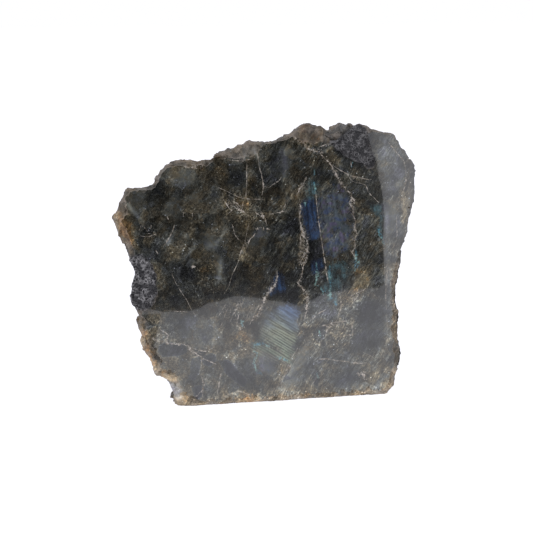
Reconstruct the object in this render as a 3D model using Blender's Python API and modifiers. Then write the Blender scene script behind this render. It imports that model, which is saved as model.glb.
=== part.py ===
"""Rough labradorite chunk, standing on its sawn base with its polished face to the front.

One natural stone: rough broken sides and back, one face ground flat and polished, and one
sawn face that it stands on. Metres, +Z up, origin at the middle of the sawn base, polished
face towards -Y. The stone is shaped with that face at y = 0, and then set forward.
"""

import math

import bmesh
import bpy
from mathutils import Vector, noise

MM = 0.001

# Driving dimensions, in millimetres.
BASE_THICKNESS = 36.0       # front to back at the base
BACK_LEAN = 0.10            # how much thinner the stone gets for each millimetre of height
FACE_FORWARD = 16.0         # how far the polished face is in front of the middle of the base
CENTRE = (-5.0, 55.0)       # middle of the polished face, x and z
GRIND_ALLOWANCE = 0.3       # stone in front of the finished face, which the grinding takes off
RING_SPACING = 2.0          # spacing of the rings and points that the rough body is lofted through
GRAIN = 0.9                 # size of the even grid that the rough surface is broken on
FINISHED_TRIANGLES = 8000

# Outline of the stone from the front, clockwise from the tip at its left.
# Each row is x, z and the width of the broken border left outside the polished face.
OUTLINE = (
    (-68.0, 77.5, 5.0), (-66.0, 79.5, 5.0), (-64.5, 83.0, 4.0), (-64.0, 86.0, 3.0),
    (-62.5, 88.5, 2.5), (-60.5, 88.5, 2.0), (-56.5, 88.0, 2.0), (-53.5, 88.5, 2.0),
    (-52.0, 88.5, 2.0), (-51.0, 91.0, 2.0), (-49.5, 94.5, 2.0), (-47.5, 97.0, 2.5),
    (-44.5, 98.5, 3.0), (-42.5, 99.0, 3.5), (-39.0, 99.0, 4.0), (-33.0, 98.5, 4.0),
    (-32.0, 99.0, 4.0), (-29.0, 99.0, 2.0), (-28.5, 100.5, 2.0), (-27.5, 101.0, 2.5),
    (-23.0, 102.0, 4.0), (-18.0, 102.0, 5.0), (-17.0, 103.0, 5.5), (-15.5, 104.0, 6.0),
    (-12.5, 105.5, 6.5), (-10.5, 105.0, 5.0), (-8.5, 105.5, 2.0), (-4.0, 105.0, 1.5),
    (-3.0, 106.0, 1.5), (0.5, 106.5, 1.5), (2.0, 107.5, 2.0), (3.0, 108.5, 3.0),
    (5.5, 109.0, 4.5), (7.5, 110.5, 7.0), (11.5, 111.5, 9.0), (13.5, 110.0, 9.0),
    (15.5, 110.5, 8.0), (17.5, 108.0, 5.0), (19.5, 105.0, 3.0), (22.5, 105.5, 3.0),
    (25.0, 107.5, 3.0), (28.0, 111.5, 6.0), (31.5, 112.5, 7.0), (34.0, 110.5, 5.0),
    (35.0, 109.0, 3.0), (37.0, 108.5, 1.5), (41.0, 108.0, 1.5), (43.5, 107.5, 1.5),
    (45.5, 106.0, 1.0), (46.5, 104.0, 1.0), (48.0, 101.5, 1.0), (50.0, 100.5, 1.5),
    (51.5, 97.5, 2.5), (53.0, 95.0, 3.0), (54.5, 92.0, 3.0), (55.0, 89.0, 3.0),
    (55.0, 84.0, 3.0), (54.5, 80.5, 3.0), (52.5, 72.5, 3.0), (51.5, 67.5, 2.0),
    (50.5, 63.5, 1.5), (49.0, 60.0, 1.5), (49.0, 55.0, 2.0), (48.5, 52.5, 2.0),
    (47.5, 50.5, 2.0), (48.0, 48.0, 2.0), (47.0, 47.0, 2.0), (46.5, 40.5, 2.0),
    (47.5, 34.0, 2.0), (48.0, 25.5, 2.0), (48.5, 21.5, 2.0), (49.5, 18.0, 2.0),
    (49.0, 13.5, 2.0), (48.0, 9.5, 1.5), (47.0, 7.0, 1.5), (47.0, 5.5, 1.5),
    (47.0, 3.5, 1.5), (45.0, 2.5, 1.0), (42.0, 1.0, 1.0), (40.0, -1.0, 2.0),
    (26.0, -1.0, 2.5), (16.5, -1.0, 2.0), (9.0, -0.5, 2.0), (4.5, -1.5, 2.5),
    (-1.0, -1.0, 2.0), (-8.5, -1.5, 2.5), (-16.5, -1.0, 2.0), (-26.0, -1.5, 2.5),
    (-35.5, -1.0, 2.5), (-38.0, 2.0, 2.5), (-42.5, 3.5, 3.0), (-45.0, 6.0, 3.5),
    (-46.0, 9.0, 3.5), (-46.5, 11.0, 3.5), (-49.0, 12.5, 4.0), (-51.5, 13.0, 3.0),
    (-52.5, 15.5, 3.0), (-53.5, 19.5, 3.0), (-53.5, 21.0, 3.0), (-55.0, 22.0, 3.5),
    (-57.0, 24.0, 4.0), (-58.0, 27.0, 4.0), (-57.0, 30.0, 3.0), (-57.0, 32.0, 2.5),
    (-58.0, 35.0, 2.0), (-57.0, 36.5, 2.0), (-58.0, 38.5, 2.0), (-60.0, 42.0, 2.0),
    (-61.5, 45.0, 2.0), (-61.0, 48.0, 2.0), (-60.0, 52.0, 2.0), (-59.0, 54.5, 2.0),
    (-59.5, 56.0, 2.0), (-60.5, 60.5, 2.5), (-61.5, 63.0, 3.0), (-62.5, 66.0, 4.0),
    (-64.5, 69.5, 5.0), (-66.0, 74.0, 5.0),
)

# Sides: the broken wall leans in towards the back by this much for each millimetre of depth.
WALL_LEAN = 0.30
WALL_LEAN_SIDE = 0.12       # more than that at the left, less at the right
WALL_LEAN_TOP = 0.08        # and more at the top, less at the base
WALL_LEAN_CHANGE = 0.10     # how much it varies round the stone
LEAN_PATCH = 28.0           # size of the stretches in which it varies
LEAN_SEED = 40.0            # where in the noise they are taken from
GIRTH_DEPTH = 0.6           # how far behind the face the stone is widest, where nothing has broken off
GIRTH_SLOPE = 0.5           # and how much deeper that is for each millimetre of broken border
WALL_SHARE = 0.80           # share of the thickness that the walls take; the rest is the rounded back
WALL_END = 0.8              # where the back's depth is read for the end of the walls, middle to rim
OUTLINE_FADE = 14.0         # depth over which the small teeth of the outline fade away
CALM_PASSES = 60            # how often the outline is averaged to take its teeth away
SAW_ALLOWANCE = 7.0         # stone below the base, which the saw takes away
SAW_RAMP = 4.0              # depth behind the front edge where that allowance is reached
SAW_REACH = 12.0            # height over which the walls start to follow the allowance
SAW_ENDS = (-47.0, 48.0)    # x where the allowance ends, so that the lower corners keep their form
SAW_FADE = 7.0              # length over which it fades in from each end

# Back: it bulges from the end of the walls, and is never thinner than this.
BACK_ROUND = 9.0
BACK_BULGE = 0.6
LEAST_DEPTH = 8.0

# Large cleavage faces of the back: x and z of a point on the face, its depth, and how much the
# depth changes for each millimetre to the right and each millimetre up.
BACK_FACES = (
    (-10.0, 40.0, 34.0, 0.02, -0.05),
    (28.0, 48.0, 32.0, -0.50, -0.04),
    (-40.0, 50.0, 30.5, 0.45, 0.10),
    (5.0, 88.0, 27.5, 0.10, -0.65),
    (-34.0, 84.0, 24.5, 0.42, -0.42),
    (36.0, 92.0, 23.0, -0.55, -0.60),
    (38.0, 14.0, 29.0, -0.75, 0.22),
    (-36.0, 16.0, 31.0, 0.30, 0.25),
)

# Broken relief, coarse to fine: size of the flakes, how steeply each flake tilts, and the
# height of the ledges between them.
FLAKES = (
    (19.0, 0.46, 2.2),
    (8.0, 0.24, 0.9),
    (4.0, 0.14, 0.25),
)
LEAN_SPREAD = 5.7                   # how fast the tilts change from flake to flake
LEAN_SEEDS = ((0.0, 0.0, 0.0), (31.0, 0.0, 0.0), (0.0, 57.0, 0.0))
STEP_SPREAD = 3.1                   # and how fast the ledges between them change
SWELL_SIZE = 30.0
SWELL_HEIGHT = 1.8
LEDGE_WAY = (0.42, 0.25, 0.87)      # the way in which the stepped ledges follow each other
LEDGE_SPACING = 9.0
LEDGE_HEIGHT = 1.5
LEDGE_PATCH = 24.0                  # size of the patches that the ledges come and go in
PATCH_SEED = (7.0, 3.0, 5.0)
PATCH_EDGE = 0.3
RIM_CALM = 12.0             # the relief grows from nothing to its full height over this depth

# Polished roll at the right of the face.
ROLL_START = 39.0           # x where the flat face ends
ROLL_RADIUS = 30.0
ROLL_STEPS = 6
ROLL_END_ANGLE = 27.0       # degrees

CUTTER_REACH = 90.0

# Plain finish of the solid.
STONE_COLOUR = (0.065, 0.058, 0.047, 1.0)
STONE_ROUGHNESS = 0.45


def start_empty():
    """Remove whatever the file opened with."""
    for obj in list(bpy.data.objects):
        bpy.data.objects.remove(obj, do_unlink=True)
    for mesh in list(bpy.data.meshes):
        bpy.data.meshes.remove(mesh)


def collection(name):
    """A new collection in the scene."""
    made = bpy.data.collections.new(name)
    bpy.context.scene.collection.children.link(made)
    return made


def smoothstep(low, high, value):
    """0 below low, 1 above high, and a soft ramp between."""
    share = min(max((value - low) / (high - low), 0.0), 1.0)
    return share * share * (3.0 - 2.0 * share)


def fine_outline():
    """The outline with points no further apart than the ring spacing."""
    points = []
    for here, there in zip(OUTLINE, OUTLINE[1:] + OUTLINE[:1]):
        start, end = Vector(here), Vector(there)
        pieces = max(1, math.ceil((end - start).xy.length / RING_SPACING))
        points += [start.lerp(end, k / pieces) for k in range(pieces)]
    return points


def smoothed(points, passes):
    """The closed row of points with each one averaged with its neighbours."""
    for _ in range(passes):
        count = len(points)
        points = [
            (points[i - 1] + 2.0 * points[i] + points[(i + 1) % count]) / 4.0
            for i in range(count)
        ]
    return points


def back_depth(x, z):
    """Depth of the back of the stone behind a point of the face."""
    depth = BASE_THICKNESS - BACK_LEAN * z
    for face_x, face_z, face_depth, slope_x, slope_z in BACK_FACES:
        depth = min(depth, face_depth + slope_x * (x - face_x) + slope_z * (z - face_z))
    return max(depth, LEAST_DEPTH)


def flake_lean(middle):
    """Which way the flake about this middle leans, and how much."""
    return Vector([noise.noise(middle * LEAN_SPREAD + Vector(seed)) for seed in LEAN_SEEDS])


def flake_relief(point):
    """Height of the broken surface: tilted flakes with ledges between them."""
    height = SWELL_HEIGHT * noise.noise(point / SWELL_SIZE)
    for size, tilt, ledge in FLAKES:
        place = point / size
        middle = noise.voronoi(place)[1][0]
        height += tilt * size * flake_lean(middle).dot(place - middle)
        height += ledge * noise.noise(middle * STEP_SPREAD)
    climb = point.dot(Vector(LEDGE_WAY)) / LEDGE_SPACING + noise.noise(point / LEDGE_PATCH)
    patch = smoothstep(0.0, PATCH_EDGE, noise.noise(point / LEDGE_PATCH + Vector(PATCH_SEED)))
    return height + LEDGE_HEIGHT * patch * (climb - math.floor(climb) - 0.5)


def wall_rings(points):
    """Rings of points from the rim of the polished face to the edge of the back."""
    centre = Vector(CENTRE)
    calm = smoothed(points, CALM_PASSES)
    border = [Vector((p.x, p.y)) for p in points]
    soft = [Vector((p.x, p.y)) for p in calm]
    width = [p.z for p in points]
    steps = round(BASE_THICKNESS * WALL_SHARE / RING_SPACING)
    rings = []

    rim = []
    for here, broad in zip(border, width):
        inward = (centre - here).normalized()
        place = here + inward * broad
        rim.append(Vector((place.x, -GRIND_ALLOWANCE, place.y)))
    rings.append(rim)

    for step in range(steps + 1):
        ring = []
        for index, (here, there, broad) in enumerate(zip(border, soft, width)):
            girth = GIRTH_DEPTH + GIRTH_SLOPE * broad
            rear = Vector((0.0, CENTRE[1])).lerp(Vector((there.x, there.y)), WALL_END)
            reach = back_depth(rear.x, rear.y) * WALL_SHARE
            depth = girth + (reach - girth) * step / steps
            place = here.lerp(there, smoothstep(0.0, OUTLINE_FADE, depth - girth))
            inward = (centre - place).normalized()
            change = noise.noise(Vector((place.x, LEAN_SEED, place.y)) / LEAN_PATCH)
            lean = WALL_LEAN + WALL_LEAN_SIDE * inward.x - WALL_LEAN_TOP * inward.y
            lean += WALL_LEAN_CHANGE * change
            place = place + inward * (lean * (depth - girth))
            low = 1.0 - smoothstep(0.0, SAW_REACH, here.y)
            to_end = min(here.x - SAW_ENDS[0], SAW_ENDS[1] - here.x)
            spare = smoothstep(0.0, SAW_RAMP, depth) * smoothstep(0.0, SAW_FADE, to_end)
            place.y = place.y * (1.0 - low * spare) - low * SAW_ALLOWANCE * spare
            ring.append(Vector((place.x, depth, place.y)))
        rings.append(ring)
    return rings


def back_rings(edge):
    """Rings of points from the edge of the back to near its middle."""
    centre = Vector((CENTRE[0], 0.0, CENTRE[1]))
    steps = round(CENTRE[1] / RING_SPACING)
    rings = []
    for step in range(1, steps):
        share = 1.0 - step / steps
        ring = []
        for start in edge:
            flat = Vector((start.x, 0.0, start.z))
            place = centre.lerp(flat, share)
            inset = (flat - place).length
            rise = smoothstep(0.0, BACK_ROUND, inset) ** BACK_BULGE
            deep = back_depth(place.x, place.z)
            ring.append(Vector((place.x, start.y + (deep - start.y) * rise, place.z)))
        rings.append(ring)
    return rings


def loft(rings):
    """One closed skin through unlike rings of points, with a cap at each end."""
    shape = bmesh.new()
    rows = [[shape.verts.new(place * MM) for place in ring] for ring in rings]
    for row, after in zip(rows, rows[1:]):
        for index in range(len(row)):
            side = index - 1
            shape.faces.new((row[side], after[side], after[index], row[index]))
    shape.faces.new(rows[0])
    shape.faces.new(rows[-1])
    bmesh.ops.recalc_face_normals(shape, faces=shape.faces)
    return shape


def break_surface(shape):
    """Push the rough surface in and out along its normals."""
    shape.normal_update()
    moves = []
    for vert in shape.verts:
        place = vert.co / MM
        calm = smoothstep(0.0, RIM_CALM, place.y)
        moves.append((vert, vert.normal * (flake_relief(place) * calm * MM)))
    for vert, move in moves:
        vert.co += move


def even_grid(shape):
    """The shape as a new mesh with small faces of one size."""
    body = bpy.data.objects.new("body", bpy.data.meshes.new("body"))
    bpy.context.scene.collection.objects.link(body)
    shape.to_mesh(body.data)
    shape.free()
    even = body.modifiers.new("even_grid", "REMESH")
    even.mode = "VOXEL"
    even.voxel_size = GRAIN * MM
    evaluated = body.evaluated_get(bpy.context.evaluated_depsgraph_get())
    mesh = bpy.data.meshes.new_from_object(evaluated)
    bpy.data.objects.remove(body, do_unlink=True)
    return mesh


def rough_stone():
    """The stone as it was broken, before any grinding."""
    rings = wall_rings(fine_outline())
    rings += back_rings(rings[-1])
    mesh = even_grid(loft(rings))
    shape = bmesh.new()
    shape.from_mesh(mesh)
    break_surface(shape)
    shape.to_mesh(mesh)
    shape.free()
    mesh.name = "labradorite_chunk"
    stone = bpy.data.objects.new("labradorite_chunk", mesh)
    stone.location.y = -FACE_FORWARD * MM
    return stone


def prism(name, corners, low, high):
    """A solid block: a flat polygon in x and y, raised from low to high."""
    shape = bmesh.new()
    floor = shape.faces.new([shape.verts.new((x * MM, y * MM, low * MM)) for x, y in corners])
    raised = bmesh.ops.extrude_face_region(shape, geom=[floor])
    verts = [v for v in raised["geom"] if isinstance(v, bmesh.types.BMVert)]
    bmesh.ops.translate(shape, verts=verts, vec=(0.0, 0.0, (high - low) * MM))
    bmesh.ops.recalc_face_normals(shape, faces=shape.faces)
    mesh = bpy.data.meshes.new(name)
    shape.to_mesh(mesh)
    shape.free()
    cutter = bpy.data.objects.new(name, mesh)
    cutter.location.y = -FACE_FORWARD * MM
    cutter.hide_render = True
    cutter.display_type = "WIRE"
    return cutter


def grinding_cutter():
    """What the grinding takes off the front: flat, then rolled back at the right."""
    corners = [(-CUTTER_REACH, 0.0), (ROLL_START, 0.0)]
    for step in range(1, ROLL_STEPS + 1):
        angle = math.radians(ROLL_END_ANGLE * step / ROLL_STEPS)
        corners.append((
            ROLL_START + ROLL_RADIUS * math.sin(angle),
            ROLL_RADIUS * (1.0 - math.cos(angle)),
        ))
    slope = math.tan(math.radians(ROLL_END_ANGLE))
    last_x, last_y = corners[-1]
    corners.append((CUTTER_REACH, last_y + slope * (CUTTER_REACH - last_x)))
    corners.append((CUTTER_REACH, -CUTTER_REACH))
    corners.append((-CUTTER_REACH, -CUTTER_REACH))
    return prism("grinding_cutter", corners, -CUTTER_REACH, 2.0 * CUTTER_REACH)


def sawing_cutter():
    """What the saw takes off below the base."""
    reach = CUTTER_REACH
    corners = [(-reach, -reach), (reach, -reach), (reach, reach), (-reach, reach)]
    return prism("sawing_cutter", corners, -CUTTER_REACH, 0.0)


def stone_material():
    """Dark olive-grey labradorite."""
    material = bpy.data.materials.new("labradorite")
    material.use_nodes = True
    shader = material.node_tree.nodes["Principled BSDF"]
    shader.inputs["Base Color"].default_value = STONE_COLOUR
    shader.inputs["Roughness"].default_value = STONE_ROUGHNESS
    shader.inputs["Metallic"].default_value = 0.0
    return material


def build():
    """The finished stone."""
    start_empty()
    parts = collection("labradorite_chunk")
    cutters = collection("cutters")

    stone = rough_stone()
    parts.objects.link(stone)
    stone.data.materials.append(stone_material())

    fewer = stone.modifiers.new("fewer_faces", "DECIMATE")
    dense = sum(len(face.vertices) - 2 for face in stone.data.polygons)
    fewer.ratio = FINISHED_TRIANGLES / dense
    for cutter in (grinding_cutter(), sawing_cutter()):
        cutters.objects.link(cutter)
        cut = stone.modifiers.new(cutter.name, "BOOLEAN")
        cut.operation = "DIFFERENCE"
        cut.solver = "EXACT"
        cut.object = cutter


build()
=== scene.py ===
# %% [markdown]
# # A chunk of labradorite
# The object is one natural stone. Its sides and back are broken, one side is ground flat
# and polished, and it stands on a sawn face. The solid model already has that form at its
# real size. This script gives it the fine surface: a ragged polished rim, small flakes on
# the broken parts, and the colours inside the stone.

# %% Load the solid
import math

import bmesh
import bpy
import numpy as np
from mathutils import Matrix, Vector, kdtree, noise


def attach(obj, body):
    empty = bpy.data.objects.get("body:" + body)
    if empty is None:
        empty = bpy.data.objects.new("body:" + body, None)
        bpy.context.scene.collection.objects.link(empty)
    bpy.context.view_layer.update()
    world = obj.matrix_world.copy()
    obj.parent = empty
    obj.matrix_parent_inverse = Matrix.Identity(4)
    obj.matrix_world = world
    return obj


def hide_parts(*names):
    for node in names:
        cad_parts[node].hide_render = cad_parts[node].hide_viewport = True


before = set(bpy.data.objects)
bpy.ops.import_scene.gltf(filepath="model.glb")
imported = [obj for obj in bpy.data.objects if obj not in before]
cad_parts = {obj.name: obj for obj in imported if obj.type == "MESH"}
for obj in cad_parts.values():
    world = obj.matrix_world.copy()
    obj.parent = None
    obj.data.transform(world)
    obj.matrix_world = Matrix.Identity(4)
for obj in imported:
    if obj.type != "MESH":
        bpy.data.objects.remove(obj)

MM = 0.001
Y, Z = 1, 2                 # two of the axes: Y runs back from the camera's side, Z up
CHUNK = "labradorite_chunk"
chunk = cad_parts[CHUNK]
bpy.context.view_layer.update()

# %% [markdown]
# ## The camera
# A long lens from about half a metre keeps the flat face nearly free of perspective. The
# camera stands a little to the left of the stone and looks slightly down on it.

# %% Camera
AIM = Vector((-5.5, -8.0, 54.0)) * MM
CAMERA_TURN = math.radians(-12.0)
CAMERA_RISE = math.radians(12.0)
CAMERA_DISTANCE = 0.592
LENS = 100.0
SENSOR = 36.0

to_back = np.array((
    math.sin(CAMERA_TURN) * math.cos(CAMERA_RISE),
    -math.cos(CAMERA_TURN) * math.cos(CAMERA_RISE),
    math.sin(CAMERA_RISE),
))
camera = bpy.data.objects.new("camera", bpy.data.cameras.new("camera"))
bpy.context.scene.collection.objects.link(camera)
camera.data.lens = LENS
camera.data.sensor_width = SENSOR
camera.location = AIM + Vector(to_back) * CAMERA_DISTANCE
camera.rotation_euler = Vector(to_back).to_track_quat("Z", "Y").to_euler()
bpy.context.scene.camera = camera
print("camera, mm:", [round(part / MM) for part in camera.location])

# %% [markdown]
# ## From the camera's view to the stone
# Cracks and clouds are easiest to place where the camera sees them, so their points are
# given in pixels across and down its square view. The line of sight through a pixel is
# followed to the polished face, which is flat and rolls back at its right edge, and gives a
# place in millimetres. There it can be mirrored, which tells what the polish shows.

# %% Polished surface
FACE = -16.0                # y of the polished face, in millimetres
ROLL_START = 39.0           # x at which it begins to roll back
ROLL_RADIUS = 30.0
ROLL_END = math.sin(math.radians(27.0)) * ROLL_RADIUS     # how much further the roll is round


def polish_depth(x):
    """How far back the polished surface has rolled at each x."""
    past = np.clip(x - ROLL_START, 0.0, ROLL_END)
    rolled = ROLL_RADIUS - np.sqrt(ROLL_RADIUS ** 2 - past ** 2)
    slope = ROLL_END / math.sqrt(ROLL_RADIUS ** 2 - ROLL_END ** 2)
    return rolled + slope * np.clip(x - ROLL_START - ROLL_END, 0.0, None)


# %% Lines of sight
VIEW_SIDE = 533             # pixels
PIXEL = SENSOR / LENS / VIEW_SIDE       # width of a pixel at a distance of one
ROLL_STEPS = 4              # the roll's depth depends on x, so its spots are found in steps

eye = np.array(AIM) / MM + to_back * CAMERA_DISTANCE / MM
to_right = np.cross((0.0, 0.0, 1.0), to_back)
to_right /= np.linalg.norm(to_right)
to_top = np.cross(to_back, to_right)


def seen_at(across, down, depth=0.0):
    """The spot that a pixel shows on a plane so deep under the flat part of the face."""
    sideways = (across - VIEW_SIDE / 2) * PIXEL
    upwards = (VIEW_SIDE / 2 - down) * PIXEL
    sight = to_right * sideways + to_top * upwards - to_back
    return eye + sight * ((FACE + depth - eye[1]) / sight[1])


def on_stone(pixels):
    """The x and z of a row of pixels on the face, to the nearest half millimetre."""
    spots = [seen_at(*pixel) for pixel in pixels]
    return [(round(2.0 * spot[0]) / 2.0, round(2.0 * spot[2]) / 2.0) for spot in spots]


def mirrored(pixel, axis, level):
    """What the polish shows at a pixel: a spot of the plane at a level along an axis."""
    spot = seen_at(*pixel)
    for _ in range(ROLL_STEPS):
        spot = seen_at(*pixel, float(polish_depth(spot[0])))
    lean = math.asin(min(max(spot[0] - ROLL_START, 0.0), ROLL_END) / ROLL_RADIUS)
    facing = np.array((math.sin(lean), -math.cos(lean), 0.0))
    way = spot - eye
    way -= 2.0 * way.dot(facing) * facing
    return Vector(spot + way * ((level - spot[axis]) / way[axis]))


# %% [markdown]
# ## The studio
# The stone stands on a light table in a white room, so that it throws no shadow. A polished
# stone shows what it faces: here most of the face looks at a black card, and past the card's
# edge it looks at the bright table and room, which lay a pale haze over the lower part and
# the rolled right side. A black cloth on the table goes on below the card at its left end.
# Where the haze ends on the face is given, and mirrored there it gives the edges of card and
# cloth. Both are seen in reflections only. The colours are shown as they are, with no film
# look.

# %% Studio
ROOM_GLOW = 1.0
WHITE = (1.0, 1.0, 1.07, 1.0)
TABLE_COLOUR = (0.25, 0.25, 0.25, 1.0)
TABLE_GLOW = 0.85
TABLE_HALF_SIDE = 3.0

scene = bpy.context.scene
scene.view_settings.view_transform = "Standard"
scene.view_settings.look = "None"

room = bpy.data.worlds.new("white_room")
room.use_nodes = True
room.node_tree.nodes["Background"].inputs["Color"].default_value = WHITE
room.node_tree.nodes["Background"].inputs["Strength"].default_value = ROOM_GLOW
scene.world = room


def staged(name, corners, material):
    """A flat sheet of the studio, which is not part of the stone."""
    shape = bmesh.new()
    shape.faces.new([shape.verts.new(corner) for corner in corners])
    mesh = bpy.data.meshes.new(name)
    shape.to_mesh(mesh)
    shape.free()
    sheet = bpy.data.objects.new(name, mesh)
    scene.collection.objects.link(sheet)
    mesh.materials.append(material)
    return sheet


def plain(name, colour, glow=0.0):
    """A plain matt material, which may glow."""
    material = bpy.data.materials.new(name)
    material.use_nodes = True
    shader = material.node_tree.nodes["Principled BSDF"]
    shader.inputs["Base Color"].default_value = colour
    shader.inputs["Roughness"].default_value = 1.0
    shader.inputs["Specular IOR Level"].default_value = 0.0
    shader.inputs["Emission Color"].default_value = WHITE
    shader.inputs["Emission Strength"].default_value = glow
    return material


side = TABLE_HALF_SIDE
staged("light_table", [(-side, -side, 0.0), (side, -side, 0.0), (side, side, 0.0), (-side, side, 0.0)],
       plain("light_table", TABLE_COLOUR, TABLE_GLOW))

# %% Black card
BLACK = (0.002, 0.002, 0.002, 1.0)
CARD_AHEAD = 150.0          # how far the card stands in front of the face, in millimetres
CARD = FACE - CARD_AHEAD    # its y
CARD_TOP = 140.0
CARD_LEFT, CARD_FOOT, CARD_RIGHT = -420.0, -52.0, 74.0
HAZE_TOP = (                # upper edge of the haze, from left to right, in pixels
    (132, 305), (163, 312), (190, 311), (200, 308), (208, 303), (220, 301), (228, 298), (236, 296),
    (255, 297.5), (270, 300.5), (280, 301.5), (290, 303.5), (300, 306), (318, 297), (330, 292), (340, 291),
    (357, 289), (384, 284),
)
HAZE_SIDE = (               # edge of the haze along the roll, from below
    (384, 262), (383, 240), (384.5, 216), (383, 200), (379, 180), (377, 162), (372, 152), (369, 140),
    (366, 130),
)

feet = [Vector((x, CARD, 0.0)) for x in (CARD_LEFT, CARD_FOOT)]
edge = [mirrored(pixel, Y, CARD) for pixel in HAZE_TOP + HAZE_SIDE]
tops = [Vector((x, CARD, CARD_TOP)) for x in (CARD_RIGHT, CARD_LEFT)]
card = staged("black_card", [corner * MM for corner in (*feet, *edge, *tops)], plain("black_card", BLACK))

# %% Black cloth
CLOTH = 0.2                 # z of the cloth, in millimetres
CLOTH_LEFT = -600.0
HAZE_LEFT = ((161, 313.5), (154, 346.5), (141, 376.5), (128.5, 392.5), (125.5, 410.5))   # from above

edge = [mirrored(pixel, Z, CLOTH) for pixel in HAZE_LEFT]
ends = [Vector((CLOTH_LEFT, end.y, CLOTH)) for end in (edge[-1], edge[0])]
cloth = staged("black_cloth", [corner * MM for corner in (*ends, *edge)], plain("black_cloth", BLACK))
for sheet in (card, cloth):
    for ray in ("camera", "diffuse", "transmission", "volume_scatter", "shadow"):
        setattr(sheet, "visible_" + ray, False)

# %% Soft light
LIGHT_SIDE = 0.5
LIGHT_POWER = 4.0
LIGHT_PLACE = Vector((-0.35, -0.45, 0.75))

lamp = bpy.data.lights.new("soft_light", "AREA")
lamp.shape = "SQUARE"
lamp.size = LIGHT_SIDE
lamp.energy = LIGHT_POWER
soft_light = bpy.data.objects.new("soft_light", lamp)
scene.collection.objects.link(soft_light)
soft_light.location = LIGHT_PLACE
soft_light.rotation_euler = (LIGHT_PLACE - AIM).to_track_quat("Z", "Y").to_euler()
soft_light.visible_glossy = False

# %% [markdown]
# ## The blank
# The solid is made of a few thousand triangles. Its copy is merged and remeshed on a fine,
# even grid, so that small flakes and chips have points to move. The grid rounds every edge
# a little, and the polished rim gets its crispness back when the face is ground again.

# %% Even grid
GRID = 0.7                  # side of one cell of the grid, in millimetres
WELD = 0.002                # points closer than this are one point of the solid


def merged_copy(source):
    """The mesh of a solid with its loose triangles joined up."""
    shape = bmesh.new()
    shape.from_mesh(source.data)
    bmesh.ops.remove_doubles(shape, verts=shape.verts, dist=WELD * MM)
    mesh = bpy.data.meshes.new("blank")
    shape.to_mesh(mesh)
    shape.free()
    return mesh


def even_grid(mesh, cell):
    """The same form with faces of one size."""
    carrier = bpy.data.objects.new("blank", mesh)
    scene.collection.objects.link(carrier)
    grid = carrier.modifiers.new("grid", "REMESH")
    grid.mode = "VOXEL"
    grid.voxel_size = cell * MM
    evaluated = carrier.evaluated_get(bpy.context.evaluated_depsgraph_get())
    fine = bpy.data.meshes.new_from_object(evaluated)
    bpy.data.objects.remove(carrier, do_unlink=True)
    return fine


def column(mesh_part, name, width=3):
    """One value of every element of a mesh as an array."""
    values = np.zeros(len(mesh_part) * width)
    mesh_part.foreach_get(name, values)
    return values.reshape(-1, width)


blank = even_grid(merged_copy(chunk), GRID)
place = column(blank.vertices, "co") / MM
normal = column(blank.vertices, "normal")
print("points of the blank:", len(place))

# %% [markdown]
# ## Where the stone is polished
# A point belongs to the polished face when it lies on the polished surface and looks
# forward. The distance from each point to the rim of the polish is kept, because a ground
# stone chips and thins out along its rim.

# %% Polished points
FACE_REACH = 0.45           # how deep under the polished surface its points may lie
SQUARELY = 0.7              # how squarely they look forward, and those of the base down: 1 is fully


def ramp(low, high, value):
    """0 below low, 1 above high, and a soft slope between."""
    share = np.clip((value - low) / (high - low), 0.0, 1.0)
    return share * share * (3.0 - 2.0 * share)


def nearest(points, targets):
    """Distance from each point to the nearest target."""
    tree = kdtree.KDTree(len(targets))
    for index, target in enumerate(targets):
        tree.insert(target, index)
    tree.balance()
    return np.array([tree.find(point)[2] for point in points])


behind = place[:, 1] - FACE - polish_depth(place[:, 0])
on_face = (behind < FACE_REACH) & (normal[:, 1] < -SQUARELY)
on_wall = ~on_face
to_wall = np.zeros(len(place))
to_wall[on_face] = nearest(place[on_face], place[on_wall])
print("polished points:", int(on_face.sum()), "widest, mm:", round(to_wall.max(), 1))

# %% [markdown]
# ## Low spots
# Grinding stops once most of the face is flat. Places that were deeper stay rough: a grainy
# patch near the top right corner, one at the left edge, and small chips along the rim. Each
# patch is an outline, and the signed distance to it, positive inside, says how far in a
# point is.

# %% Patches
GRAINY_PATCHES = (          # in pixels
    ((331, 142), (341, 126), (352, 119.5), (367, 121.5), (369, 138), (371, 148), (376, 158), (376, 165.5),
     (370, 170), (362.5, 165), (351.5, 160), (336, 150)),
    ((122.5, 262), (140.5, 252.5), (151, 261), (157.5, 275.5), (158, 296), (151.5, 308.5),
     (141.5, 311.5), (123.5, 307.5)),
)
FAR_AWAY = 1e9              # millimetres


def depth_inside(corners, x, z):
    """Signed distance to an outline: positive inside it, negative outside."""
    away_from_it = np.full(len(x), FAR_AWAY)
    inside = np.zeros(len(x), bool)
    for (ax, az), (bx, bz) in zip(corners, corners[1:] + corners[:1]):
        run_x, run_z = bx - ax, bz - az
        share = ((x - ax) * run_x + (z - az) * run_z) / (run_x ** 2 + run_z ** 2)
        share = np.clip(share, 0.0, 1.0)
        gap = np.hypot(x - ax - share * run_x, z - az - share * run_z)
        away_from_it = np.minimum(away_from_it, gap)
        crosses = (az > z) != (bz > z)
        rise = np.where(crosses, run_z, 1.0)
        inside ^= crosses & (x < ax + run_x * (z - az) / rise)
    return np.where(inside, away_from_it, -away_from_it)


def depth_in_any(outlines, x, z):
    """Signed distance to the nearest of several outlines, which are rows of pixels."""
    return np.max([depth_inside(on_stone(pixels), x, z) for pixels in outlines], axis=0)


def noise_at(points, size, shift=0.0):
    """Smooth noise of one size, about -1 to 1, at every point."""
    offset = Vector((shift, 0.37 * shift, -shift))
    return np.array([noise.noise(Vector(point) / size + offset) for point in points])


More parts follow.
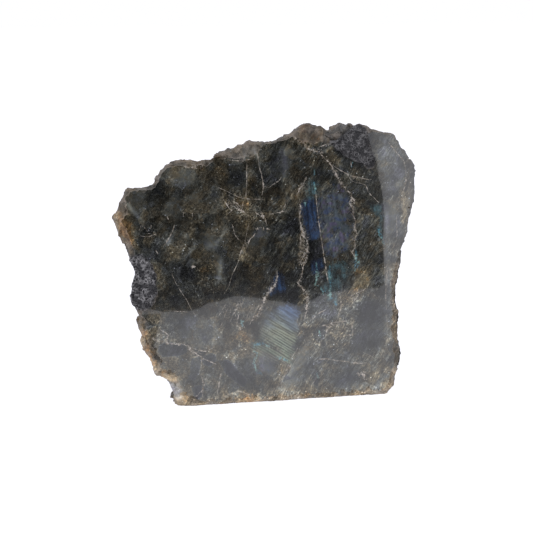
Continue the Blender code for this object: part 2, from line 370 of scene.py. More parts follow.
grainy = depth_in_any(GRAINY_PATCHES, place[:, 0], place[:, 2])
print("points in the grainy patches:", int((grainy[on_face] > 0.0).sum()))

# %% [markdown]
# ## Broken surface
# Feldspar breaks along flat cleavage planes, so a broken face is a patchwork of small tilted
# flakes. Every point belongs to its nearest seed, each seed has its own tilt and height, and
# the height is added along the normal. Three sizes of flake give ledges on ledges.

# %% Flakes
FLAKES = (                  # size, tilt, ledge height
    (6.0, 0.22, 0.45),
    (2.6, 0.28, 0.34),
    (1.3, 0.24, 0.16),
)
SEED_SPREAD = 5.7           # how fast tilts and heights change from seed to seed


def flake_height(point):
    """Height of the broken surface at one point."""
    height = 0.0
    for size, tilt, ledge in FLAKES:
        spot = point / size
        seed = noise.voronoi(spot)[1][0]
        code = seed * SEED_SPREAD
        lean = Vector((noise.noise(code), noise.noise(code.yzx), noise.noise(code.zxy)))
        height += tilt * size * lean.dot(spot - seed) + ledge * noise.noise(code.zyx)
    return height


off_polish = np.where(on_face, 0.0, 1.0)
flakes = np.array([flake_height(Vector(point)) for point in place])
print("flakes, mm:", round(flakes.min(), 2), "to", round(flakes.max(), 2))

# %% [markdown]
# ## Grinding and sawing
# The face is pushed forward everywhere except at its low spots, and then cut back to the
# polished surface. Only what stands proud is cut, so the low spots and the chips in the rim
# stay rough, as on a real stone. The roll is unrolled for the cut and rolled back after it.
# The sawn base is made in the same way.

# %% Chips and push
PROUD = 0.8                 # how far the face is pushed forward before it is cut
BASE_REACH = 0.5            # how high above the table the points of the base may lie
RIGHT_RIM = (42.0, 45.0), (62.0, 54.0)      # x and z over which the crumbled right rim begins
LEFT_RIM = (-36.0, -42.0), (40.0, 34.0)     # the same for the left rim
BOTTOM_RIM = (8.0, 3.0)                     # z over which the bottom rim begins
PATCH_DEPTH = 0.55          # how deep the grainy patches lie
CHIP_REACH = 2.4            # how far in from the rim chips are found
CRUMBLING_WIDTH = 4.0       # the crumbled rim is never wider than this
ON_POLISH = 0.7             # what lies deeper than this under the polish isn't pushed

chip = noise_at(place, 2.6, 3.0) + 0.6 * noise_at(place, 1.2, 9.0)
chipped = ramp(0.15, 0.45, chip - 0.45 * to_wall / CHIP_REACH)
right_rim = ramp(*RIGHT_RIM[0], place[:, 0]) * ramp(*RIGHT_RIM[1], place[:, 2])
bottom_rim = ramp(*BOTTOM_RIM, place[:, 2])
left_rim = ramp(*LEFT_RIM[0], place[:, 0]) * ramp(*LEFT_RIM[1], place[:, 2])
crumbling = np.maximum.reduce([right_rim, bottom_rim, left_rim])
crumbling_reach = 2.6 + right_rim + 0.8 * bottom_rim - to_wall
crumbled = ramp(-0.25, 0.35, crumbling * crumbling_reach / 1.6 + 0.9 * chip - 0.45)
pitted = ramp(0.52, 0.66, noise_at(place, 1.3, 21.0)) * ramp(-0.1, 0.3, noise_at(place, 14.0, 5.0))
patch = ramp(-0.5, 0.7, grainy + 0.8 * noise_at(place, 1.6, 13.0))
crumbled *= (crumbling > 0.05) * (to_wall < CRUMBLING_WIDTH)
low = np.maximum.reduce([0.9 * chipped, 0.5 * pitted, patch, crumbled])

push = PROUD * ramp(0.35, 0.75, -normal[:, 1]) * (behind < ON_POLISH)
sink = (PROUD + PATCH_DEPTH) * low * (push > 0.0)
place += normal * (flakes * off_polish)[:, None]
place += normal * (flakes * 0.6 * low * on_face)[:, None]
place[:, 1] += sink - push

on_base = (place[:, 2] < BASE_REACH) & (normal[:, 2] < -SQUARELY)
place[:, 2] -= PROUD * on_base

# %% Cut
EXACT = 1e-7                # metres
NEAR = 0.02                 # points closer than this to a cut, or to each other, are together
SHORTEST = 0.01             # edges shorter than this are dissolved
RELAX = 6                   # rounds in which the points of a cut spread out evenly


def cut_flat(shape, axis):
    """Flatten what lies on the low side of zero along an axis; return the flattened points."""
    facing = Vector((0.0, 0.0, 0.0))
    facing[axis] = -1.0
    everything = shape.verts[:] + shape.edges[:] + shape.faces[:]
    cut = bmesh.ops.bisect_plane(shape, geom=everything, dist=EXACT, plane_co=(0, 0, 0), plane_no=facing)
    rim = {item for item in cut["geom_cut"] if isinstance(item, bmesh.types.BMVert)}
    proud = [vert for vert in shape.verts if vert.co[axis] < 0.0 and vert not in rim]
    for vert in proud:
        vert.co[axis] = 0.0
    for _ in range(RELAX):
        bmesh.ops.smooth_vert(shape, verts=proud, factor=0.5,
                              use_axis_x=True, use_axis_y=axis != Y, use_axis_z=axis != Z)
    for vert in rim:
        vert.co[axis] = 0.0
    return len(proud)


def drop_fins(shape):
    """Remove faces that lie back to back on the same corners, and points without faces."""
    found = {}
    for face in shape.faces:
        found.setdefault(frozenset(face.verts), []).append(face)
    fins = [face for group in found.values() if len(group) > 1 for face in group]
    bmesh.ops.delete(shape, geom=fins, context="FACES")
    loose = [vert for vert in shape.verts if not vert.link_faces]
    bmesh.ops.delete(shape, geom=loose, context="VERTS")


unrolled = place.copy()
unrolled[:, 1] -= FACE + polish_depth(place[:, 0])
blank.vertices.foreach_set("co", (unrolled * MM).ravel())
stone = bmesh.new()
stone.from_mesh(blank)
print("ground points:", cut_flat(stone, Y))
for vert in stone.verts:
    vert.co.y += (FACE + float(polish_depth(vert.co.x / MM))) * MM
print("sawn points:", cut_flat(stone, Z))
bmesh.ops.remove_doubles(stone, verts=stone.verts, dist=NEAR * MM)
bmesh.ops.dissolve_degenerate(stone, edges=stone.edges, dist=SHORTEST * MM)
drop_fins(stone)
bmesh.ops.triangulate(stone, faces=stone.faces)
drop_fins(stone)
bmesh.ops.recalc_face_normals(stone, faces=stone.faces)
open_edges = [edge for edge in stone.edges if len(edge.link_faces) != 2]
print("triangles:", len(stone.faces), "open edges:", len(open_edges))

# %% Faces by finish
POLISHED, ROUGH, SAWN = range(3)
SMOOTH_BELOW = math.radians(14.0)       # sharper edges than this show as edges

for face in stone.faces:
    spots = [vert.co / MM for vert in face.verts]
    if all(abs(spot.y - FACE - float(polish_depth(spot.x))) < NEAR for spot in spots):
        face.material_index = POLISHED
    elif all(abs(spot.z) < NEAR for spot in spots):
        face.material_index = SAWN
    else:
        face.material_index = ROUGH
for edge in stone.edges:
    kinds = {face.material_index for face in edge.link_faces}
    edge.smooth = len(kinds) == 1 and edge.calc_face_angle(0.0) < SMOOTH_BELOW
for face in stone.faces:
    face.smooth = True
mesh = bpy.data.meshes.new("labradorite")
stone.to_mesh(mesh)
stone.free()
labradorite = bpy.data.objects.new("labradorite", mesh)
scene.collection.objects.link(labradorite)

# %% [markdown]
# ## Veins, cracks and colour fields
# The marks on the polished face are drawn as a carver would sketch them: each vein is a line
# and each field of colour is an outline. Their points are pixels, and their widths are in
# millimetres. Every point of the mesh keeps the way to its nearest vein and its depth inside
# each field. These change evenly from point to point, so the material can draw a sharp line
# between points that are nearly a millimetre apart, and can fray it with noise.

# %% Veins and cracks
VEINS = (                   # half the width of each, and its points
    # The first row is a painted glint: a bright dot drawn as a short, wide vein.
    (4, ((361.5, 374), (364.5, 376.5))),
    (0.4, ((307, 176), (303, 183), (300, 190), (297, 197))),
    (0.26, ((300, 199), (300, 208), (299, 216), (300, 226), (302, 232))),
    (0.5, ((300, 224), (303, 233), (307, 241), (309, 249))),
    (0.42, ((309, 246), (305, 252), (301, 259), (299, 266))),
    (0.34, ((309, 248), (307, 257), (303, 268), (301, 278), (298, 283), (303, 289))),
    (0.46, ((301, 286), (306, 294), (307, 302), (306, 310), (305, 318))),
    (0.26, ((301, 234), (300, 243), (301, 250))),
    (0.26, ((311, 236), (305, 240), (302, 246))),
    (0.24, ((306, 243), (301, 252), (297, 260))),
    (0.4, ((188, 345), (192, 350), (197, 354), (203, 358))),
    (0.5, ((277, 272), (277, 280), (273, 287), (268, 293), (264, 300), (259, 312), (252, 321))),
    (0.38, ((320, 153), (326, 158), (331, 165), (335, 172), (339, 180), (343, 186), (347, 191))),
    (0.26, ((345, 190), (351, 193), (352, 199), (349, 203), (354, 209), (353, 215), (356, 221),
     (354, 228), (357, 233), (354, 240), (355, 247), (352, 252), (356, 260))),
    (0.22, ((350, 196), (355, 200), (352, 206))),
    (0.45, ((320, 147), (327, 144), (331, 140), (335, 132), (341, 126), (346, 124))),
    (0.45, ((293, 138), (302, 140), (308, 149), (315, 151), (322, 152))),
)
HAIRS = (                   # thin cracks, and a few short bright strokes
    (0.28, ((315, 192), (317, 203), (319, 225), (322, 246), (326, 270), (328, 283))),
    (0.22, ((333, 166), (341, 170), (353, 176), (368, 180), (375, 180))),
    (0.22, ((347, 174), (353, 181), (366, 185), (368, 192), (377, 201), (383, 205))),
    (0.2, ((351, 158), (351, 168))),
    (0.15, ((247, 163), (247, 180), (246, 200))),
    (0.3, ((256, 147), (258, 158), (260, 168), (262, 176), (263, 185), (262, 196))),
    (0.2, ((249, 222), (247, 232), (245, 243), (241, 252), (238, 262))),
    (0.2, ((238, 262), (232, 275), (228, 288), (222, 297))),
    (0.2, ((215, 186), (228, 192), (238, 197), (246, 199), (266, 199.5), (270, 201))),
    (0.16, ((171, 272), (176, 283), (181, 291), (187, 301), (192, 311), (197, 318))),
    (0.16, ((164, 311), (186, 312))),
    (0.32, ((158, 342), (175, 344), (184, 344), (188, 347), (193, 353), (202, 357), (207, 360),
     (216, 364))),
    (0.3, ((185, 345), (196, 350), (205, 352), (213, 348))),
    (0.25, ((202, 357), (202, 365), (199, 372), (203, 380), (203, 398))),
    (0.28, ((317, 360), (328, 359), (340, 361), (357, 363), (366, 363))),
    (0.2, ((360, 351), (368, 354), (374, 359))),
    (0.3, ((323, 379), (329, 379))),
    (0.25, ((318, 327), (325, 325), (333, 323), (350, 320))),
    (0.25, ((351, 322), (353, 335), (345, 335))),
    (0.22, ((292, 362), (286, 374), (280, 384), (272, 391))),
    (0.2, ((268, 215), (282, 212), (290, 211))),
    (0.28, ((227, 160), (240, 161), (250, 159))),
    (0.25, ((202, 160), (202, 171))),
    (0.2, ((185, 168), (200, 169))),
    (0.3, ((388, 143), (397, 152), (404, 160), (407, 170), (407, 183), (403, 197))),
    (0.25, ((221, 370), (219, 385), (216, 402))),
    (0.2, ((208, 374), (204, 384), (202, 400))),
    (0.25, ((341, 300), (352, 295), (364, 290), (370, 283))),
    (0.2, ((312, 385), (318, 376), (324, 370))),
    (0.2, ((286, 205), (281, 213), (290, 198))),
    (0.25, ((397, 215), (398, 235), (397, 240))),
    (0.18, ((386, 262), (386, 300), (388, 330))),
    (0.2, ((390, 262), (391, 292))),
    (0.3, ((325, 337), (327, 329), (334, 325), (340, 326))),
    (0.3, ((310, 322), (318, 314), (326, 310))),
    (0.3, ((352, 303), (360, 293))),
    (0.2, ((150, 338), (160, 341), (172, 343))),
    (0.25, ((338, 318), (341, 308), (340, 296))),
    (0.2, ((146, 322), (147, 330), (150, 336), (158, 341), (166, 341), (168, 335), (160, 329))),
    (0.25, ((352, 323), (353, 334))),
    (0.2, ((172, 385), (175, 392), (176, 400))),
    (0.2, ((222, 398), (238, 391), (252, 396))),
    (0.22, ((190, 400), (196, 397), (201, 392))),
    (0.2, ((300, 345), (290, 360), (284, 376), (274, 388))),
    (0.2, ((183, 166), (192, 167), (198, 164), (205, 160))),
    (0.2, ((268, 188), (280, 180), (287, 168))),
    # Painted glints: these four rows are bright dots drawn as short strokes.
    (3, ((257, 229), (259, 229))),
    (2.4, ((267, 229), (269, 229))),
    (1.1, ((193, 266), (195, 266))),
    (1.32, ((240, 328), (241, 330))),
    (0.4, ((221, 197), (226, 202), (229, 208))),
    (0.45, ((228, 198), (232, 206), (238, 209), (243, 212), (249, 216))),
    (0.4, ((231, 200), (238, 204), (242, 211))),
    (0.4, ((243, 201), (242, 210))),
    (0.35, ((261, 211), (265, 217), (267, 226))),
    (0.4, ((233, 209), (228, 213))),
    (0.35, ((256, 213), (262, 217))),
    (0.5, ((144, 227), (148, 232))),
    (0.4, ((141, 226), (139, 231))),
    (0.35, ((140, 236), (148, 237), (156, 234))),
    (0.4, ((151, 225), (150, 229))),
    (0.5, ((183, 212), (184, 216))),
    (0.5, ((192, 214), (193, 217))),
    (0.5, ((215, 200), (216, 203))),
    (0.5, ((167, 216), (168, 219))),
    (0.4, ((156, 250), (159, 254))),
    (0.3, ((256, 232), (250, 240), (246, 249))),
    (0.35, ((232, 224), (235, 233), (238, 240))),
    (0.3, ((175, 224), (172, 232), (167, 241), (163, 247))),
    (0.18, ((262, 300), (256, 311), (250, 324))),
    (0.16, ((245, 298), (240, 312), (236, 326))),
    (0.15, ((239, 300), (233, 313), (228, 328))),
    (0.16, ((254, 303), (249, 314), (246, 320))),
    (0.14, ((230, 304), (226, 312), (220, 328))),
    (0.16, ((241, 299), (236, 310), (230, 322))),
    (0.18, ((226, 304), (220, 314), (216, 322))),
    (0.35, ((176, 382), (178, 390), (184, 398))),
    (0.35, ((171, 384), (174, 394))),
)

# %% Smears and sparks of light
SMEARS = (                  # half the width of each, its strength, and its points
    (0.9, 0.9, ((125, 202), (137, 215), (147, 225))),
    (0.8, 0.9, ((137, 215), (145, 208), (158, 201))),
    (0.7, 1.1, ((197, 242), (190, 252), (182, 263))),
    (1.7, 0.9, ((206, 247), (216, 246))),
    (0.8, 0.9, ((228, 229), (222, 236), (214, 245))),
    (0.8, 0.8, ((203, 234), (212, 235))),
    (0.8, 0.8, ((181, 235), (192, 238))),
    (1.0, 0.7, ((222, 255), (218, 285))),
    (0.8, 0.9, ((176, 226), (173, 234), (165, 246))),
    (0.7, 0.9, ((246, 246), (240, 262))),
    (0.8, 0.5, ((286, 150), (284, 178))),
    (0.7, 0.4, ((292, 152), (290, 172))),
    (1.0, 0.5, ((186, 316), (188, 332))),
    (1.2, 0.5, ((306, 345), (290, 372), (280, 386))),
    (0.7, 0.7, ((262, 250), (256, 268))),
    (0.6, 0.6, ((270, 232), (258, 258))),
    (0.7, 0.9, ((256, 150), (261, 172))),
    (0.8, 0.5, ((245, 306), (240, 325))),
    (0.6, 0.6, ((258, 304), (250, 322))),
    (0.8, 0.7, ((379, 348), (383, 351))),
    (1.0, 0.6, ((386, 210), (387, 236))),
    (1.0, 0.5, ((330, 225), (328, 250))),
)
SPARKS = (                  # half the width of each, and its points
    (0.5, ((315, 169), (315, 175))),
    (0.45, ((314, 181), (314, 184))),
    (0.5, ((314, 187), (316, 193))),
    (0.6, ((304, 201), (306, 206))),
    (0.7, ((321, 288), (323, 294))),
    (0.6, ((329, 290), (331, 298), (336, 304))),
    (0.5, ((319, 331), (321, 336))),
    (0.6, ((355, 250), (357, 262), (355, 270))),
    (0.4, ((378, 226), (381, 236), (384, 245))),
    (0.3, ((330, 264), (329, 276), (331, 287))),
    (0.25, ((257, 355), (254, 363), (257, 371), (263, 375))),
    (0.4, ((255, 345), (262, 344), (270, 347))),
    (0.45, ((275, 357), (282, 358), (289, 361))),
    (0.3, ((253, 351), (258, 353))),
    (0.35, ((241, 320), (242, 326))),
    (0.8, ((317, 373), (318, 378))),
    (0.4, ((243, 321), (242, 325))),
    (0.4, ((316, 263), (317, 276), (315, 285))),
    (0.4, ((351, 166), (353, 163))),
)

# %% Clouds in the stone
INKY = (
    ((270, 346), (277, 347), (276, 354), (270, 353)),
    ((308, 262), (324, 262), (326, 275), (318, 284), (310, 280)),
    ((335, 130), (372, 127), (378, 168), (350, 168), (334, 150)),
    ((227, 162), (247, 162), (247, 178), (240, 186), (233, 180), (229, 170)),
    ((255, 160), (262, 170), (285, 181), (284, 197), (262, 198), (250, 196), (251, 178)),
    ((232, 268), (240, 262), (248, 268), (252, 280), (244, 292), (233, 290), (229, 280)),
    ((168, 292), (182, 294), (186, 300), (190, 308), (184, 311), (168, 310)),
    ((278, 274), (298, 272), (299, 284), (300, 300), (290, 303), (270, 299), (272, 290)),
    ((302, 272), (312, 262), (320, 268), (318, 285), (314, 296), (304, 286)),
    ((306, 236), (318, 238), (322, 262), (311, 262), (303, 270), (309, 250)),
    ((145, 192), (165, 181), (172, 190), (160, 215), (150, 235), (140, 240), (147, 215)),
    ((140, 245), (160, 240), (160, 262), (146, 262)),
    ((296, 205), (300, 232), (294, 240), (283, 232), (286, 215)),
    ((195, 225), (206, 222), (208, 236), (196, 240)),
    ((160, 262), (182, 262), (200, 280), (196, 300), (166, 292)),
    ((208, 292), (230, 288), (232, 298), (205, 302)),
)
GOLDEN = (
    ((142, 344), (152, 346), (153, 356), (145, 354)),
    ((250, 394), (262, 394), (262, 403), (250, 404)),
    ((246, 170), (253, 170), (253, 198), (246, 198)),
    ((257, 347), (266, 350), (262, 357), (255, 354)),
    ((352, 258), (362, 256), (368, 272), (360, 296), (352, 290), (354, 272)),
    ((222, 198), (246, 200), (268, 202), (268, 222), (262, 228), (245, 226), (228, 218)),
    ((290, 185), (303, 178), (300, 200), (295, 208), (288, 200)),
    ((238, 228), (254, 222), (250, 232), (247, 250), (243, 262), (238, 262), (241, 240)),
    ((188, 252), (215, 250), (222, 262), (212, 272), (195, 270)),
    ((318, 152), (330, 158), (334, 170), (326, 172), (312, 165), (305, 150)),
    ((246, 276), (262, 272), (266, 288), (252, 296)),
    ((356, 272), (366, 268), (370, 285), (360, 298), (355, 290)),
    ((207, 205), (190, 203), (183, 212), (195, 222), (210, 216)),
    ((325, 148), (335, 150), (345, 165), (335, 166)),
    ((262, 185), (284, 190), (284, 212), (262, 214)),
    ((215, 165), (225, 164), (226, 176), (214, 176)),
)
MISTY = (
    ((168, 172), (190, 169), (197, 178), (188, 188), (172, 184)),
    ((121, 188), (146, 187), (146, 196), (142, 207), (134, 214), (120, 206)),
    ((170, 380), (182, 382), (188, 402), (174, 402)),
    ((168, 202), (178, 199), (183, 208), (176, 218), (168, 214)),
    ((216, 252), (223, 256), (224, 278), (216, 284), (213, 268)),
    ((256, 226), (270, 222), (270, 240), (262, 250), (250, 255), (248, 242)),
    ((282, 148), (292, 148), (290, 175), (282, 178)),
    ((306, 340), (312, 352), (292, 390), (278, 390), (296, 360)),
    ((383, 205), (398, 200), (400, 232), (386, 238)),
    ((240, 160), (256, 146), (262, 150), (255, 158)),
    ((192, 190), (202, 190), (200, 204), (190, 202)),
    ((200, 230), (216, 236), (218, 250), (202, 250)),
    ((264, 345), (275, 360), (272, 374), (258, 374), (253, 362)),
)
PALE = (
    ((167, 380), (176, 383), (183, 396), (177, 403), (169, 398)),
    ((380, 138), (392, 138), (405, 150), (406, 185), (400, 192), (386, 190), (378, 170), (374, 150)),
    ((188, 318), (215, 318), (222, 345), (195, 350), (185, 340)),
    ((147, 322), (160, 326), (165, 335), (156, 340), (148, 335)),
    ((384, 240), (391, 240), (394, 330), (385, 335)),
    ((262, 312), (280, 318), (270, 332), (258, 330)),
    ((308, 300), (335, 300), (340, 316), (312, 322)),
)
EARTHY = (
    ((137, 308), (160, 312), (164, 322), (148, 322), (142, 335), (138, 322)),
    ((186, 349), (203, 357), (203, 366), (190, 360)),
    ((215, 325), (250, 330), (258, 350), (232, 362), (205, 350)),
    ((224, 390), (262, 390), (262, 404), (224, 404)),
    ((262, 388), (330, 385), (395, 378), (396, 396), (290, 401), (262, 404)),
    ((186, 396), (224, 399), (224, 406), (186, 406)),
    ((325, 325), (352, 319), (354, 337), (345, 345), (330, 348), (322, 338)),
    ((368, 335), (398, 335), (397, 388), (366, 392)),
    ((391, 240), (400, 240), (398, 340), (393, 340)),
    ((335, 292), (352, 288), (360, 300), (345, 315), (336, 308)),
    ((285, 350), (296, 345), (290, 372), (270, 392), (262, 390), (276, 368)),
    ((300, 318), (318, 318), (322, 345), (300, 345)),
)
RUSTY = (
    ((112, 213), (121, 212), (128, 222), (135, 227), (138, 236), (135, 245), (129, 250), (118, 240)),
    ((402, 192), (416, 192), (412, 235), (404, 238)),
    ((136, 330), (147, 332), (148, 345), (154, 358), (165, 368), (184, 380), (178, 386), (160, 380),
     (138, 350)),
)
SLATY = (
    ((256, 356), (274, 354), (279, 362), (272, 371), (258, 371)),
    ((163, 317), (168, 313), (187, 314), (190, 335), (184, 341), (170, 340), (163, 328)),
    ((362, 306), (372, 300), (383, 304), (385, 330), (380, 347), (370, 345), (362, 352), (354, 350),
     (352, 340), (359, 328), (357, 316)),
    ((330, 378), (345, 366), (358, 368), (364, 384), (350, 390), (334, 389)),
    ((268, 150), (280, 146), (288, 156), (284, 176), (272, 178)),
    ((380, 200), (390, 205), (390, 236), (382, 240)),
    ((228, 366), (246, 358), (258, 372), (246, 388), (232, 384)),
)
LOAMY = (
    ((290, 122), (328, 122), (327, 136), (316, 146), (308, 148), (298, 140)),
    ((330, 262), (346, 262), (348, 256), (334, 254)),
)
DUSKY = (
    ((228, 178), (262, 178), (286, 184), (284, 200), (262, 196), (246, 194), (232, 192)),
    ((250, 198), (268, 204), (268, 222), (256, 214)),
    ((294, 140), (310, 150), (308, 160), (292, 158)),
    ((168, 356), (190, 358), (188, 378), (170, 374)),
    ((270, 352), (286, 356), (284, 384), (272, 380)),
    ((350, 352), (368, 356), (368, 382), (352, 380)),
    ((330, 382), (346, 380), (346, 396), (330, 396)),
    ((166, 296), (206, 292), (206, 304), (168, 306)),
    ((290, 298), (318, 306), (316, 318), (290, 320)),
    ((254, 238), (296, 234), (302, 262), (300, 302), (262, 300), (250, 290), (248, 262)),
    ((366, 338), (392, 338), (392, 362), (366, 362)),
    ((288, 338), (306, 338), (306, 360), (288, 360)),
    ((158, 344), (188, 344), (188, 358), (158, 358)),
    ((205, 340), (224, 340), (224, 352), (205, 352)),
    ((182, 262), (216, 266), (216, 278), (184, 280)),
    ((112, 196), (122, 190), (124, 206), (114, 216), (108, 212)),
    ((226, 374), (276, 374), (276, 394), (226, 394)),
    ((228, 222), (262, 226), (250, 244), (232, 244)),
)
CRUSTY = (
    ((186, 399), (262, 393), (330, 389), (384, 383), (394, 372), (398, 396), (300, 404), (186, 412)),
    ((150, 356), (158, 362), (178, 384), (172, 392), (146, 366)),
)
LIT = (
    ((391, 258), (402, 258), (402, 302), (391, 302)),
    ((207, 374), (214, 367), (222, 370), (240, 388), (240, 400), (203, 402), (202, 390)),
    ((386, 212), (404, 212), (402, 236), (388, 240)),
    ((366, 378), (396, 372), (394, 392), (366, 396)),
    ((138, 316), (146, 322), (146, 338), (152, 350), (154, 362), (166, 376), (180, 386), (176, 394),
     (160, 386), (146, 362), (134, 336)),
    ((212, 196), (232, 197), (236, 212), (228, 222), (212, 220)),
    ((248, 139), (292, 141), (290, 152), (262, 158), (250, 158)),
    ((346, 256), (368, 252), (378, 264), (372, 284), (352, 282)),
    ((368, 218), (384, 220), (388, 246), (372, 246)),
    ((330, 298), (350, 300), (352, 320), (330, 318)),
    ((236, 296), (268, 292), (272, 312), (248, 322), (232, 316)),
    ((170, 378), (186, 378), (190, 394), (178, 400)),
)
AMBER = (
    ((117, 218), (124, 220), (133, 229), (136, 238), (131, 243), (124, 237), (118, 227)),
    ((401, 196), (411, 197), (409, 214), (404, 228), (402, 214)),
    ((355, 270), (368, 268), (370, 284), (360, 297), (355, 292)),
    ((336, 304), (343, 305), (341, 322), (335, 322)),
    ((292, 316), (300, 316), (300, 324), (293, 323)),
)
TONES = (                   # outlines, stops lighter, warmer, calmer, soft edge in millimetres
    (INKY, -1.0, -0.15, 0.0, 1.4),
    (GOLDEN, 0.35, 0.16, 0.0, 1.8),
    (MISTY, 0.8, -0.06, 0.7, 1.8),
    (PALE, 0.95, -0.16, 0.35, 1.0),
    (EARTHY, 0.7, 0.14, 0.0, 1.5),
    (RUSTY, 1.1, 0.20, 0.0, 1.4),
    (SLATY, -0.3, -0.23, 0.4, 1.6),
    (LOAMY, -0.4, 0.42, 0.0, 1.6),
    (DUSKY, -0.7, 0.0, 0.0, 2.4),
    (LIT, 0.6, 0.0, 0.0, 2.4),
    (CRUSTY, 0.2, 0.04, 0.0, 1.4),
    (AMBER, 0.3, 0.18, 0.0, 1.0),
)

# %% Plates and flashes
SHARDS = (
    ((160, 344), (166, 343), (186, 344), (188, 352), (183, 355), (162, 357), (157, 352)),
    ((191, 358), (200, 356), (201, 362), (199, 372), (194, 381), (189, 378)),
    ((204, 356), (212, 352), (216, 356), (217, 361), (210, 367), (204, 365), (202, 361)),
    ((218, 361), (229, 360), (240, 372), (248, 381), (244, 388), (236, 383), (226, 374)),
    ((191, 388), (202, 384), (202, 396), (197, 401)),
)
DEEP_BLUE = (
    ((278, 270), (283, 276), (285, 293), (269, 293), (273, 282)),
    ((302, 203), (306, 199), (316, 198), (318, 215), (320, 236), (313, 240), (306, 231), (302, 215)),
    ((311, 262), (322, 258), (324, 268), (313, 274)),
)
SLATE_BLUE = (
    ((318, 196), (334, 186), (346, 190), (351, 205), (352, 235), (346, 250), (334, 258), (324, 250),
     (320, 225)),
    ((256, 360), (268, 358), (272, 372), (258, 375)),
)
TEAL = (
    ((330, 262), (346, 263), (352, 270), (346, 282), (338, 290), (330, 287), (327, 275)),
    ((306, 180), (318, 184), (317, 198), (307, 198)),
    ((373, 206), (381, 207), (383, 222), (380, 232), (376, 226), (373, 214)),
    ((250, 342), (262, 338), (272, 344), (268, 350), (256, 349)),
    ((275, 352), (290, 353), (291, 362), (281, 364), (272, 358)),
    ((322, 284), (336, 288), (338, 302), (328, 300)),
)
SHATTERED = (
    ((301, 262), (322, 262), (325, 300), (304, 303)),
    ((310, 298), (345, 292), (372, 286), (364, 318), (352, 345), (330, 352), (310, 345), (303, 320)),
    ((180, 270), (215, 266), (222, 298), (205, 314), (185, 300)),
    ((224, 192), (268, 200), (270, 226), (240, 226), (224, 212)),
    ((140, 318), (170, 318), (186, 343), (165, 346), (145, 346)),
    ((140, 225), (158, 228), (158, 245), (140, 240)),
    ((296, 235), (310, 240), (312, 262), (300, 268), (296, 255)),
    ((300, 300), (312, 300), (312, 345), (300, 345)),
    ((230, 337), (246, 338), (248, 350), (236, 349)),
    ((390, 240), (400, 240), (398, 340), (390, 340)),
    ((186, 398), (395, 388), (395, 400), (186, 410)),
)
STRIPED = (
    ((254, 344), (270, 346), (291, 353), (289, 364), (276, 362), (262, 356), (253, 358)),
    ((261, 331), (265, 319), (274, 311), (284, 307), (295, 306), (298, 317), (296, 340), (291, 351),
     (283, 351), (272, 346), (262, 341)),
)

# %% Distance to the marks
FIELD = 2.6                 # distance at which a vein is no longer felt
FIELD_FADE = 1.2            # width over which it fades before that
TAPER = 2.5                 # length over which a vein thins out at its ends
VEIN_END, SMEAR_END = 0.35, 0.4     # how much of a line is left at its very ends
SMEAR_REACH = 1.7           # a smear fades out at so many times half its width


def along(pixels, x, z):
    """Offset to the nearest spot of a line of pixels, and how far that spot is from its ends."""
    points = on_stone(pixels)
    runs = [math.dist(here, there) for here, there in zip(points, points[1:])]
    whole = sum(runs)
    best = [np.full(len(x), FAR_AWAY), np.zeros(len(x)), np.zeros(len(x)), np.zeros(len(x))]
    done = 0.0
    for (ax, az), (bx, bz), run in zip(points, points[1:], runs):
        share = np.clip(((x - ax) * (bx - ax) + (z - az) * (bz - az)) / run ** 2, 0.0, 1.0)
        off_x, off_z = x - ax - share * (bx - ax), z - az - share * (bz - az)
        gap = np.hypot(off_x, off_z)
        end = np.minimum(done + share * run, whole - done - share * run)
        best = [np.where(gap < best[0], new, old) for new, old in zip((gap, off_x, off_z, end), best)]
        done += run
    return best


def thinned(end, left):
    """A share that falls from 1 to what is left at the ends of a line."""
    return left + (1.0 - left) * ramp(0.0, TAPER, end)


def to_lines(lines, x, z):
    """Offset to the nearest of several lines, and half the width of that line."""
    found = [np.full(len(x), FAR_AWAY), np.zeros(len(x)), np.zeros(len(x)), np.zeros(len(x))]
    for half_width, pixels in lines:
        gap, off_x, off_z, end = along(pixels, x, z)
        width = half_width * thinned(end, VEIN_END) * ramp(FIELD, FIELD - FIELD_FADE, gap)
        found = [np.where(gap < found[0], new, old) for new, old in zip((gap, off_x, off_z, width), found)]
    return np.stack(found[1:], axis=1)


def smear_strength(lines, x, z):
    """How strongly soft strokes cover each point."""
    strength = np.zeros(len(x))
    for half_width, weight, pixels in lines:
        gap, _, _, end = along(pixels, x, z)
        stroke = ramp(SMEAR_REACH * half_width, 0.0, gap) * thinned(end, SMEAR_END)
        strength = np.maximum(strength, weight * stroke)
    return strength


# %% Measure the marks at every point
SWELLING = (0.35, 1.9)      # the narrowest and the widest places of a vein, 1 being usual
MARK_DEPTH = (2.0, 9.0)     # how deep under the face the marks begin to fade, and end
TONE_DEPTH = (4.0, 12.0)    # the same for the clouds


def keep(name, *values):
    """Store three numbers for every point of the mesh under a name."""
    layer = mesh.attributes.new(name, "FLOAT_VECTOR", "POINT")
    layer.data.foreach_set("vector", np.stack(values, axis=1).astype(np.float32).ravel())


spots = column(mesh.vertices, "co") / MM
x, z = spots[:, 0], spots[:, 2]
under = spots[:, 1] - FACE - polish_depth(x)
near_face = ramp(MARK_DEPTH[1], MARK_DEPTH[0], under)
not_deep = ramp(TONE_DEPTH[1], TONE_DEPTH[0], under)
fade = np.clip(under - MARK_DEPTH[0], 0.0, None)
frayed = 1.1 * noise_at(spots, 2.6, 15.0) + 0.5 * noise_at(spots, 1.1, 25.0)
tone = np.zeros((3, len(x)))
for outlines, *change, soft in TONES:
    share = ramp(-soft, soft, depth_in_any(outlines, x, z) + frayed) * not_deep
    tone += np.outer(change, share)
keep("tone", *tone)
swell = 1.0 + 0.9 * noise_at(spots, 4.5, 35.0) + 0.7 * noise_at(spots, 1.6, 37.0)
for name, lines in (("veins", VEINS), ("hairs", HAIRS), ("sparks", SPARKS)):
    off_x, off_z, width = to_lines(lines, x, z).T
    keep(name, off_x, off_z, width * near_face * np.clip(swell, *SWELLING))
